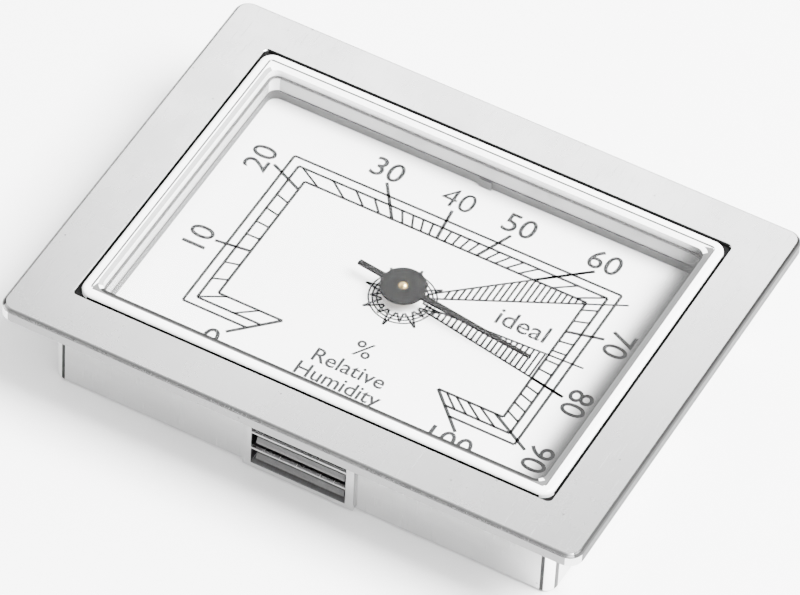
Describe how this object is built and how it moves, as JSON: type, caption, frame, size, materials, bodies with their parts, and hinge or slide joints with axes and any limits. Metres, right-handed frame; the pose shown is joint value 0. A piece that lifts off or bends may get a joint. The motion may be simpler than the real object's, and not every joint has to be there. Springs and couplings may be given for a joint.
{
  "type": "dial hygrometer",
  "caption": "Rectangular panel dial hygrometer: chrome bezel and vented case, clear crystal, printed humidity scale, balanced pointer on a humidity coil, rear calibration adjuster.",
  "frame": {"origin": "centre of the back, at the case's rear edge", "axes": "+Z out of the dial towards the reader, +X to the dial's right, +Y to the dial's top"},
  "size_m": [0.062, 0.0472, 0.0118],
  "materials": {
    "bezel_chrome": "satin bright plating",
    "case_chrome": "satin bright plating",
    "crystal_clear": "clear moulded plastic, polished",
    "seal_rubber": "soft black bead",
    "surround_plastic": "moulded light grey plastic",
    "dial_print": "matt white card with dark grey print",
    "plate_steel": "rolled sheet",
    "brass_turned": "turned and polished",
    "brass_sheet": "stamped sheet",
    "screw_steel": "plated",
    "spring_steel": "bright spring strip",
    "cover_black": "fine textured moulding",
    "coil_strip": "bronze strip with a moisture-sensitive film",
    "pointer_paint": "matt dark grey paint"
  },
  "bodies": {
    "case": {"bezel_frame": "bezel_chrome", "case_box": "case_chrome", "vent_grille_front": "case_chrome", "vent_grille_back": "case_chrome", "vent_grille_left": "case_chrome", "vent_grille_right": "case_chrome", "crystal_window": "crystal_clear", "crystal_seal": "seal_rubber", "dial_surround": "surround_plastic", "dial_card": "dial_print", "mounting_plate": "plate_steel", "front_bushing": "brass_turned", "movement_bridge": "brass_sheet", "bridge_pillars": "brass_turned", "bridge_screws": "screw_steel", "friction_washer": "spring_steel", "back_cover": "cover_black", "cover_screws": "screw_steel"},
    "regulator": {"calibration_adjuster": "brass_turned", "regulator_arm": "brass_sheet", "coil_anchor_post": "brass_turned", "humidity_coil": "coil_strip"},
    "pointer_group": {"pointer": "pointer_paint", "pointer_collet": "brass_turned", "pointer_arbor": "brass_turned", "coil_collet": "brass_turned"}
  },
  "joints": [
    {"name": "calibration_turn", "type": "hinge", "parent": "case", "child": "regulator", "pos_m": [0, 0, 0.0016], "axis": [0, 0, 1], "range_deg": [-20, 20]},
    {"name": "pointer_turn", "type": "hinge", "parent": "regulator", "child": "pointer_group", "pos_m": [0, 0, 0.0032], "axis": [0, 0, 1], "range_deg": [-38, 232], "stiffness_Nm_per_rad": 0.002, "deforming": ["humidity_coil"]}
  ]
}
